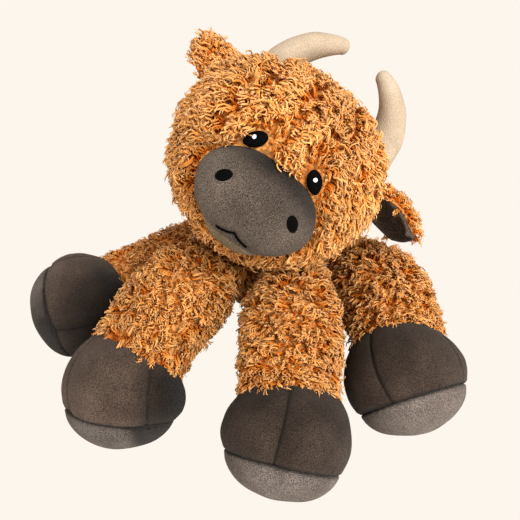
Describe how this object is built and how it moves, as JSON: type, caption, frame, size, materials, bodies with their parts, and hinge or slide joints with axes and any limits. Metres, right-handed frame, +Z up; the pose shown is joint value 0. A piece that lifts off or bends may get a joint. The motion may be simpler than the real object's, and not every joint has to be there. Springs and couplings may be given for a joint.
{
  "type": "plush cow",
  "caption": "Shaggy long-pile highland cow soft toy that sits on its rump with legs forward, head tilted, cream horns, dark muzzle and hooves.",
  "frame": {"origin": "middle of the flat under the rump, on the surface that the toy sits on", "axes": "+X towards the toy's own left, -Y the way it faces, +Z up"},
  "size_m": [0.3448, 0.3335, 0.2409],
  "materials": {
    "caramel_pile": "long curly pile",
    "charcoal_plush": "short pile",
    "sole_plush": "short pile",
    "muzzle_plush": "short pile",
    "chin_plush": "short pile",
    "cream_plush": "short pile",
    "lining_plush": "short pile",
    "black_thread": "satin stitch",
    "white_thread": "satin stitch",
    "white_filling": "loose fibre"
  },
  "bodies": {
    "torso": {"body_cover": "caramel_pile", "body_filling": "white_filling"},
    "head": {"head_cover": "caramel_pile", "head_filling": "white_filling", "muzzle_cover": "muzzle_plush", "chin_panel": "chin_plush", "mouth_stitch": "black_thread", "nostril_left": "black_thread", "eye_left": "black_thread", "eye_highlight_left": "white_thread", "horn_cover_left": "cream_plush", "horn_filling_left": "white_filling", "nostril_right": "black_thread", "eye_right": "black_thread", "eye_highlight_right": "white_thread", "horn_cover_right": "cream_plush", "horn_filling_right": "white_filling"},
    "front_leg_left": {"front_leg_left_cover": "caramel_pile", "front_leg_left_filling": "white_filling", "front_leg_left_hoof_upper": "charcoal_plush", "front_leg_left_hoof_sole": "sole_plush"},
    "front_leg_right": {"front_leg_right_cover": "caramel_pile", "front_leg_right_filling": "white_filling", "front_leg_right_hoof_upper": "charcoal_plush", "front_leg_right_hoof_sole": "sole_plush"},
    "hind_leg_left": {"hind_leg_left_cover": "caramel_pile", "hind_leg_left_filling": "white_filling", "hind_leg_left_hoof_upper": "charcoal_plush", "hind_leg_left_hoof_sole": "sole_plush"},
    "hind_leg_right": {"hind_leg_right_cover": "caramel_pile", "hind_leg_right_filling": "white_filling", "hind_leg_right_hoof_upper": "charcoal_plush", "hind_leg_right_hoof_sole": "sole_plush"},
    "ear_left": {"ear_back_left": "caramel_pile", "ear_lining_left": "lining_plush"},
    "ear_right": {"ear_back_right": "caramel_pile", "ear_lining_right": "lining_plush"},
    "tail": {"tail_cover": "caramel_pile", "tail_tuft": "caramel_pile"}
  },
  "joints": [
    {"name": "front_leg_left_lift", "type": "hinge", "parent": "torso", "child": "front_leg_left", "pos_m": [0.0305, -0.04698, 0.06761], "axis": [-1, 0, 0], "range_deg": [-10, 10]},
    {"name": "hind_leg_left_splay", "type": "hinge", "parent": "torso", "child": "hind_leg_left", "pos_m": [0.06951, 0.01616, 0.04109], "axis": [0, 0, 1], "range_deg": [0, 20]},
    {"name": "ear_left_lift", "type": "hinge", "parent": "head", "child": "ear_left", "pos_m": [0.07934, -0.01956, 0.13688], "axis": [0.4591, -0.4968, 0.7365], "range_deg": [-25, 25]},
    {"name": "front_leg_right_lift", "type": "hinge", "parent": "torso", "child": "front_leg_right", "pos_m": [-0.0305, -0.04698, 0.06761], "axis": [-1, 0, 0], "range_deg": [-10, 10]},
    {"name": "hind_leg_right_splay", "type": "hinge", "parent": "torso", "child": "hind_leg_right", "pos_m": [-0.06951, 0.01616, 0.04109], "axis": [0, 0, -1], "range_deg": [0, 20]},
    {"name": "ear_right_lift", "type": "hinge", "parent": "head", "child": "ear_right", "pos_m": [-0.04184, 0.00387, 0.20087], "axis": [0.5655, 0.7216, -0.3994], "range_deg": [-25, 25]},
    {"name": "head_tilt", "type": "hinge", "parent": "torso", "child": "head", "pos_m": [0.0115, -0.03231, 0.1641], "axis": [0.2604, -0.8259, 0.5], "range_deg": [-12, 40]},
    {"name": "tail_lift", "type": "hinge", "parent": "torso", "child": "tail", "pos_m": [0, 0.05364, 0.05871], "axis": [1, 0, 0], "range_deg": [0, 45]}
  ]
}
